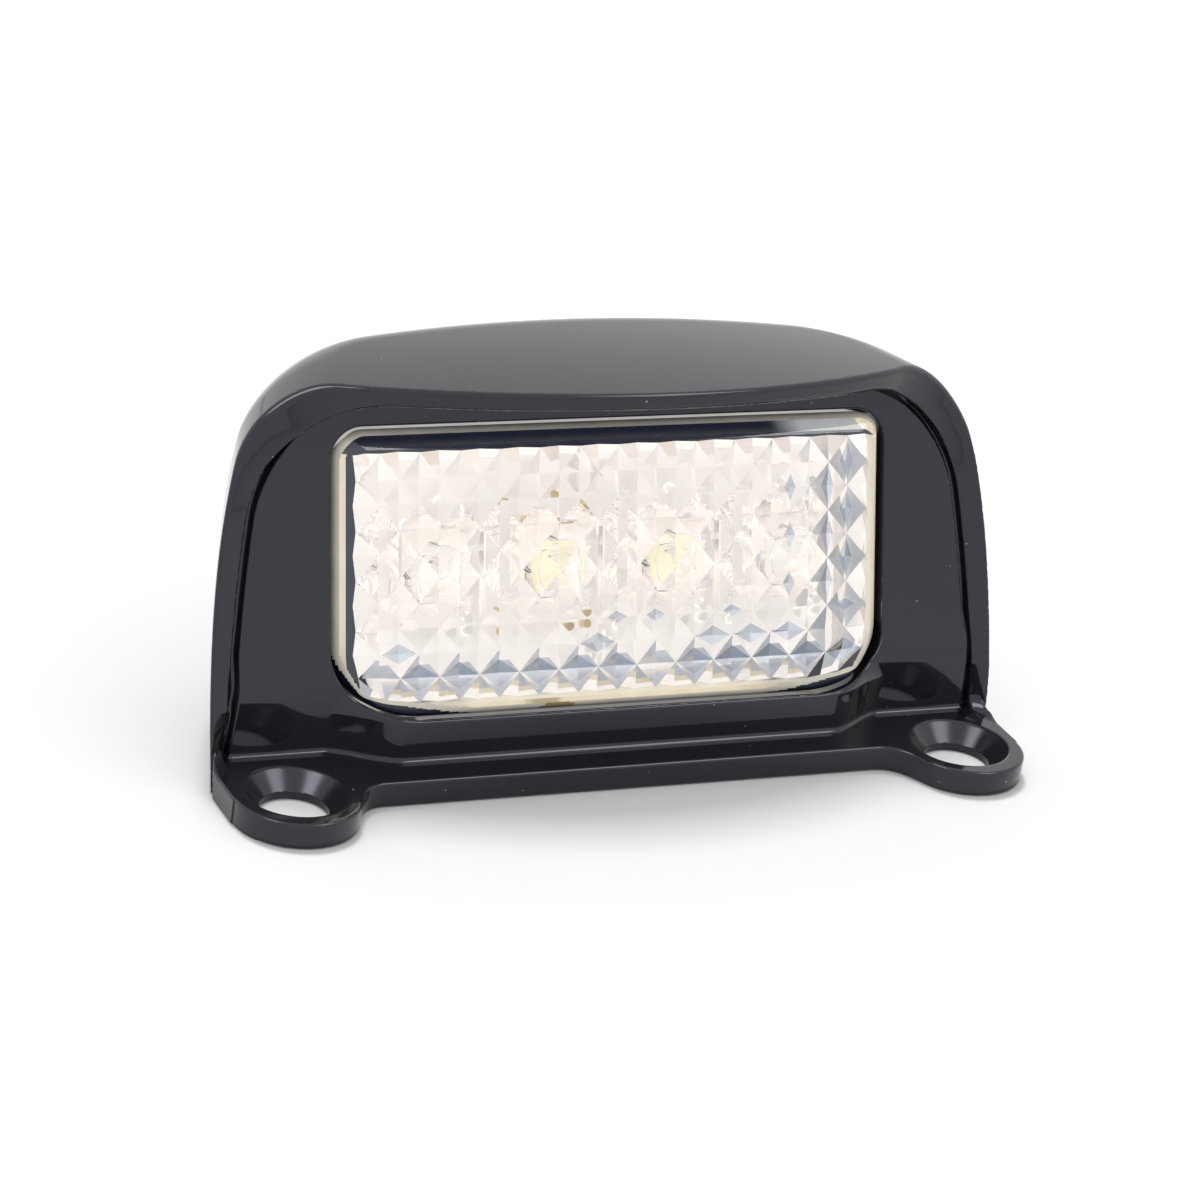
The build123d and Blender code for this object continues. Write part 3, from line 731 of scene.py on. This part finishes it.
# clear lens; its colour attribute paints shade into the facets
m_clear, nt, p = material("clear_lens")
n1 = noise(nt, 400.0, 2.0, 0.5)
c = ramp(nt, n1, "Fac", [(0.3, (0.985, 0.985, 0.975)), (0.7, (1.0, 1.0, 0.995))])
at = nt.nodes.new("ShaderNodeAttribute")
at.attribute_name = "colour_and_painted_shade"
mul = nt.nodes.new("ShaderNodeMix")
mul.data_type = "RGBA"
mul.blend_type = "MULTIPLY"
mul.inputs[0].default_value = 1.0
nt.links.new(c.outputs["Color"], mul.inputs[6])
nt.links.new(at.outputs["Color"], mul.inputs[7])
nt.links.new(mul.outputs[2], p.inputs["Base Color"])
r = span(nt, n1, "Fac", 0.3, 0.7, 0.0, 0.012)
link(nt, r, "Result", p, "Roughness")
p.inputs["IOR"].default_value = 1.57
p.inputs["Transmission Weight"].default_value = 1.0
lens.data.materials.append(m_clear)

# seal bonded to the lens border, carrying painted navy shade as well as its own cream
m_seal_and_shade, nt, p = material("lens_seal_and_painted_shade")
n1 = noise(nt, 800.0, 3.0, 0.55)
c = ramp(nt, n1, "Fac", [(0.3, (0.92, 0.91, 0.90)), (0.7, (1.0, 1.0, 1.0))])
pearl = ramp(nt, n1, "Fac", [(0.3, (0.95, 0.93, 0.91)), (0.7, (1.0, 0.98, 0.96))])
at = nt.nodes.new("ShaderNodeAttribute")
at.attribute_name = "colour_and_painted_shade"
mul = nt.nodes.new("ShaderNodeMix")
mul.data_type = "RGBA"
mul.blend_type = "MULTIPLY"
mul.inputs[0].default_value = 1.0
nt.links.new(c.outputs["Color"], mul.inputs[6])
nt.links.new(at.outputs["Color"], mul.inputs[7])
geo = nt.nodes.new("ShaderNodeNewGeometry")
two = nt.nodes.new("ShaderNodeMix")
two.data_type = "RGBA"
link(nt, geo, "Backfacing", two, 0)
nt.links.new(pearl.outputs["Color"], two.inputs[6])
nt.links.new(mul.outputs[2], two.inputs[7])
nt.links.new(two.outputs[2], p.inputs["Base Color"])
r = span(nt, n1, "Fac", 0.3, 0.7, 0.4, 0.55)
link(nt, r, "Result", p, "Roughness")
# the seal's emission is a painted glow
nt.links.new(two.outputs[2], p.inputs["Emission Color"])
p.inputs["Emission Strength"].default_value = 0.42
lens.data.materials.append(m_seal_and_shade)

# pale edge of the lens, with painted dark shade at its lower corners
m_lip, nt, p = material("lens_edge_and_painted_shade")
n1 = noise(nt, 500.0, 3.0, 0.55)
c = ramp(nt, n1, "Fac", [(0.3, (0.72, 0.72, 0.72)), (0.7, (0.84, 0.84, 0.84))])
at = nt.nodes.new("ShaderNodeAttribute")
at.attribute_name = "colour_and_painted_shade"
mul = nt.nodes.new("ShaderNodeMix")
mul.data_type = "RGBA"
mul.blend_type = "MULTIPLY"
mul.inputs[0].default_value = 1.0
nt.links.new(c.outputs["Color"], mul.inputs[6])
nt.links.new(at.outputs["Color"], mul.inputs[7])
nt.links.new(mul.outputs[2], p.inputs["Base Color"])
r = span(nt, n1, "Fac", 0.3, 0.7, 0.12, 0.22)
link(nt, r, "Result", p, "Roughness")
lens.data.materials.append(m_lip)

# plain clear plastic for the hidden stand-in of the lens
m_plain, nt, p = material("clear_plastic")
n1 = noise(nt, 400.0, 2.0, 0.5)
c = ramp(nt, n1, "Fac", [(0.3, (0.985, 0.985, 0.975)), (0.7, (1.0, 1.0, 0.995))])
link(nt, c, "Color", p, "Base Color")
r = span(nt, n1, "Fac", 0.3, 0.7, 0.0, 0.012)
link(nt, r, "Result", p, "Roughness")
p.inputs["IOR"].default_value = 1.57
p.inputs["Transmission Weight"].default_value = 1.0

# white board; its emission is painted light
m_board, nt, p = material("white_solder_mask")
n1 = noise(nt, 900.0, 4.0, 0.6)
c = ramp(nt, n1, "Fac", [(0.3, (0.86, 0.83, 0.81)), (0.7, (0.92, 0.89, 0.875))])
link(nt, c, "Color", p, "Base Color")
r = span(nt, n1, "Fac", 0.3, 0.7, 0.35, 0.5)
link(nt, r, "Result", p, "Roughness")
p.inputs["Emission Color"].default_value = (1.0, 0.955, 0.935, 1.0)
p.inputs["Emission Strength"].default_value = 0.47

# lamp case: cream rim, pale inside, painted slate shade along the bottom and the right, and a faint emission that is
# painted light
m_case, nt, p = material("cream_case")
tc = nt.nodes.new("ShaderNodeTexCoord")


def along(axis, origin):
    """Distance along a direction from a point, in millimetres."""
    dot = nt.nodes.new("ShaderNodeVectorMath")
    dot.operation = "DOT_PRODUCT"
    dot.inputs[1].default_value = tuple(1000.0 * c for c in axis)
    link(nt, tc, "Object", dot, 0)
    sub = nt.nodes.new("ShaderNodeMath")
    sub.operation = "SUBTRACT"
    sub.inputs[1].default_value = sum(a * b for a, b in zip(axis, origin))
    link(nt, dot, "Value", sub, 0)
    return sub


def blend(fac, out, low, high):
    mix = nt.nodes.new("ShaderNodeMix")
    mix.data_type = "RGBA"
    link(nt, fac, out, mix, 0)
    nt.links.new(low, mix.inputs[6])
    nt.links.new(high, mix.inputs[7])
    return mix.outputs[2]


lens_origin = (0.0, LENS_Y, LENS_Z)
height = along((0.0, -CL, SL), lens_origin)
side_u = along((1.0, 0.0, 0.0), lens_origin)
side_v = along((0.0, SL, CL), lens_origin)
n1 = noise(nt, 700.0, 3.0, 0.5)
cream = ramp(nt, n1, "Fac", [(0.3, (0.62, 0.56, 0.44)), (0.7, (0.72, 0.67, 0.55))])
pale = ramp(nt, n1, "Fac", [(0.3, (0.80, 0.77, 0.75)), (0.7, (0.88, 0.85, 0.83))])
slate = ramp(nt, n1, "Fac", [(0.3, (0.44, 0.48, 0.55)), (0.7, (0.52, 0.56, 0.63))])
right_end = span(nt, side_u, "Value", 21.2, 21.8, 0.0, 1.0)
bottom_end = span(nt, side_v, "Value", -8.4, -8.9, 0.0, 1.0)
walls = blend(right_end, "Result", pale.outputs["Color"], slate.outputs["Color"])
walls = blend(bottom_end, "Result", walls, slate.outputs["Color"])
rim_top = span(nt, height, "Value", -2.27, -2.23, 0.0, 1.0)
shell_colour = blend(rim_top, "Result", walls, cream.outputs["Color"])
nt.links.new(shell_colour, p.inputs["Base Color"])
nt.links.new(shell_colour, p.inputs["Emission Color"])
p.inputs["Emission Strength"].default_value = 0.24
r = span(nt, n1, "Fac", 0.3, 0.7, 0.25, 0.4)
link(nt, r, "Result", p, "Roughness")

# LED bodies
m_led, nt, p = material("led_epoxy")
n1 = noise(nt, 600.0, 3.0, 0.5)
c = ramp(nt, n1, "Fac", [(0.3, (0.975, 0.97, 0.955)), (0.7, (0.995, 0.99, 0.98))])
link(nt, c, "Color", p, "Base Color")
r = span(nt, n1, "Fac", 0.3, 0.7, 0.0, 0.06)
link(nt, r, "Result", p, "Roughness")
p.inputs["IOR"].default_value = 1.5
p.inputs["Transmission Weight"].default_value = 1.0

m_phos, nt, p = material("led_phosphor")
tc = nt.nodes.new("ShaderNodeTexCoord")
n1 = noise(nt, 2500.0, 3.0, 0.6)
yellow = ramp(nt, n1, "Fac", [(0.3, (0.98, 0.92, 0.64)), (0.7, (1.0, 0.97, 0.77))])
milky = ramp(nt, n1, "Fac", [(0.3, (0.90, 0.88, 0.85)), (0.7, (0.96, 0.94, 0.92))])
offset = nt.nodes.new("ShaderNodeMath")
offset.operation = "ABSOLUTE"
link(nt, along((1.0, 0.0, 0.0), (1.0, 0.0, 0.0)), "Value", offset, 0)
outer_led = span(nt, offset, "Value", 9.0, 11.0, 0.0, 1.0)
glow = blend(outer_led, "Result", yellow.outputs["Color"], milky.outputs["Color"])
nt.links.new(glow, p.inputs["Base Color"])
# the phosphor's emission is a painted glow
nt.links.new(glow, p.inputs["Emission Color"])
p.inputs["Roughness"].default_value = 0.6
p.inputs["Emission Strength"].default_value = 0.8


def metal(name, dark, light, lo, hi, scale):
    m, nt, p = material(name)
    n1 = noise(nt, scale, 4.0, 0.6)
    c = ramp(nt, n1, "Fac", [(0.3, dark), (0.7, light)])
    link(nt, c, "Color", p, "Base Color")
    r = span(nt, n1, "Fac", 0.3, 0.7, lo, hi)
    link(nt, r, "Result", p, "Roughness")
    p.inputs["Metallic"].default_value = 1.0
    return m


def plastic(name, dark, light, lo, hi, scale):
    m, nt, p = material(name)
    n1 = noise(nt, scale, 4.0, 0.6)
    c = ramp(nt, n1, "Fac", [(0.3, dark), (0.7, light)])
    link(nt, c, "Color", p, "Base Color")
    r = span(nt, n1, "Fac", 0.3, 0.7, lo, hi)
    link(nt, r, "Result", p, "Roughness")
    b = bump(nt, n1, "Fac", 0.15, 0.00005)
    link(nt, b, "Normal", p, "Normal")
    return m


m_lead, nt, p = material("plated_lead")
tc = nt.nodes.new("ShaderNodeTexCoord")
n1 = noise(nt, 1500.0, 4.0, 0.6)
tinned = ramp(nt, n1, "Fac", [(0.3, (0.80, 0.78, 0.75)), (0.7, (0.92, 0.90, 0.88))])
brassy = ramp(nt, n1, "Fac", [(0.3, (0.46, 0.36, 0.20)), (0.7, (0.62, 0.50, 0.30))])
near_two = nt.nodes.new("ShaderNodeMath")
near_two.operation = "ABSOLUTE"
link(nt, along((1.0, 0.0, 0.0), (-4.0, 0.0, 0.0)), "Value", near_two, 0)
far = span(nt, near_two, "Value", 3.5, 4.5, 0.0, 1.0)
plate = blend(far, "Result", brassy.outputs["Color"], tinned.outputs["Color"])
nt.links.new(plate, p.inputs["Base Color"])
# the leads' emission is a painted glow that whitens them
nt.links.new(plate, p.inputs["Emission Color"])
p.inputs["Emission Strength"].default_value = 0.4
r = span(nt, n1, "Fac", 0.3, 0.7, 0.25, 0.45)
link(nt, r, "Result", p, "Roughness")
m_solder = metal("tin_solder", (0.55, 0.55, 0.56), (0.75, 0.75, 0.76), 0.2, 0.45, 1200.0)
m_screw = metal("zinc_screw", (0.50, 0.50, 0.51), (0.68, 0.68, 0.69), 0.2, 0.38, 1400.0)
m_pin = metal("tinned_pin", (0.74, 0.73, 0.71), (0.88, 0.87, 0.85), 0.25, 0.45, 1500.0)
m_chip = plastic("chip_package", (0.012, 0.012, 0.014), (0.03, 0.03, 0.033), 0.4, 0.6, 1800.0)
m_tan = plastic("chip_ceramic", (0.30, 0.20, 0.11), (0.45, 0.32, 0.19), 0.35, 0.55, 1800.0)
m_head = plastic("white_lacquer", (0.80, 0.78, 0.76), (0.88, 0.86, 0.84), 0.3, 0.5, 900.0)
head = m_head.node_tree.nodes["Principled BSDF"]
# the emission on the screw heads is a painted glow
head.inputs["Emission Color"].default_value = (1.0, 0.955, 0.935, 1.0)
head.inputs["Emission Strength"].default_value = 0.34
m_rubber = plastic("black_rubber", (0.010, 0.010, 0.011), (0.022, 0.022, 0.023), 0.6, 0.8, 900.0)

finish = {
    "lamp_case": m_case,
    "circuit_board": m_board,
    "led_1": m_led,
    "led_2": m_led,
    "led_3": m_led,
    "led_4": m_led,
    "led_phosphors": m_phos,
    "led_leads": m_lead,
    "solder_joints": m_solder,
    "resistors": m_chip,
    "diode": m_chip,
    "suppressor": m_chip,
    "regulator": m_chip,
    "capacitors": m_tan,
    "wire_terminals": m_pin,
    "board_screws": m_head,
    "case_screws": m_screw,
    "cable_grommet": m_rubber,
    "housing": m_black,
    "lens": m_plain,
}
for name, mat in finish.items():
    obj = bpy.data.objects[name]
    for k in range(max(1, len(obj.material_slots))):
        if k < len(obj.material_slots):
            obj.material_slots[k].material = mat
        else:
            obj.data.materials.append(mat)

for piece, node_name, slot_name in ((housing, "housing", "housing"), (lens, "lens", "lens")):
    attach(piece, "root")
    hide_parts(node_name)

# ----------------------------------------------------------------------- stage
size = 3.0
floor_mesh = bpy.data.meshes.new("floor")
floor_mesh.from_pydata([(-size, -size, 0), (size, -size, 0), (size, size, 0), (-size, size, 0)], [], [(0, 1, 2, 3)])
floor = bpy.data.objects.new("floor", floor_mesh)
floor.location.z = -0.00002
bpy.context.scene.collection.objects.link(floor)
m_floor, nt, p = material("pale_floor")
n1 = noise(nt, 3.0, 2.0, 0.5)
c = ramp(nt, n1, "Fac", [(0.3, (0.64, 0.64, 0.64)), (0.7, (0.66, 0.66, 0.66))])
link(nt, c, "Color", p, "Base Color")
p.inputs["Roughness"].default_value = 0.9
p.inputs["Specular IOR Level"].default_value = 0.0
floor_mesh.materials.append(m_floor)

scene = bpy.context.scene
world = bpy.data.worlds.new("studio")
scene.world = world
world.use_nodes = True
bg = world.node_tree.nodes["Background"]
bg.inputs["Color"].default_value = (1.0, 1.0, 1.0, 1.0)
bg.inputs["Strength"].default_value = 1.06



def soft_light(name, direction, distance, side, power):
    data = bpy.data.lights.new(name, "AREA")
    data.shape = "SQUARE"
    data.size = side
    data.energy = power
    obj = bpy.data.objects.new(name, data)
    d = Vector(direction).normalized()
    obj.matrix_world = Matrix.Translation(d * distance) @ d.to_track_quat("Z", "Y").to_matrix().to_4x4()
    scene.collection.objects.link(obj)
    return obj


front = soft_light("front_box", (0.427, -0.38, 0.79), 0.6, 0.25, 0.85)
front.visible_diffuse = False
side = soft_light("side_box", (-0.529, -0.11, 0.842), 0.6, 0.22, 0.85)
side.visible_diffuse = False
rear = soft_light("rear_box", (0.0, 0.345, 0.94), 1.0, 0.2, 6.4)
rear.visible_glossy = False
rear.visible_transmission = False

scene.view_settings.view_transform = "Standard"
scene.view_settings.look = "None"

az, el, roll = (math.radians(a) for a in (-27.813, 23.621, 8.740))
back = Vector((math.sin(az) * math.cos(el), -math.cos(az) * math.cos(el), math.sin(el)))
right = Vector((math.cos(az), math.sin(az), 0.0))
up = back.cross(right)
r2 = math.cos(roll) * right + math.sin(roll) * up
u2 = -math.sin(roll) * right + math.cos(roll) * up
cam_data = bpy.data.cameras.new("camera")
cam_data.sensor_fit = "HORIZONTAL"
cam_data.sensor_width = 36.0
cam_data.lens = 4486.1 / 1200 * 36.0
cam_data.clip_start = 0.01
cam = bpy.data.objects.new("camera", cam_data)
place = Matrix((r2, u2, back)).transposed().to_4x4()
place.translation = Vector((-147.85, -269.83, 149.69)) * MM
cam.matrix_world = place
scene.collection.objects.link(cam)
scene.camera = cam

bpy.context.view_layer.update()
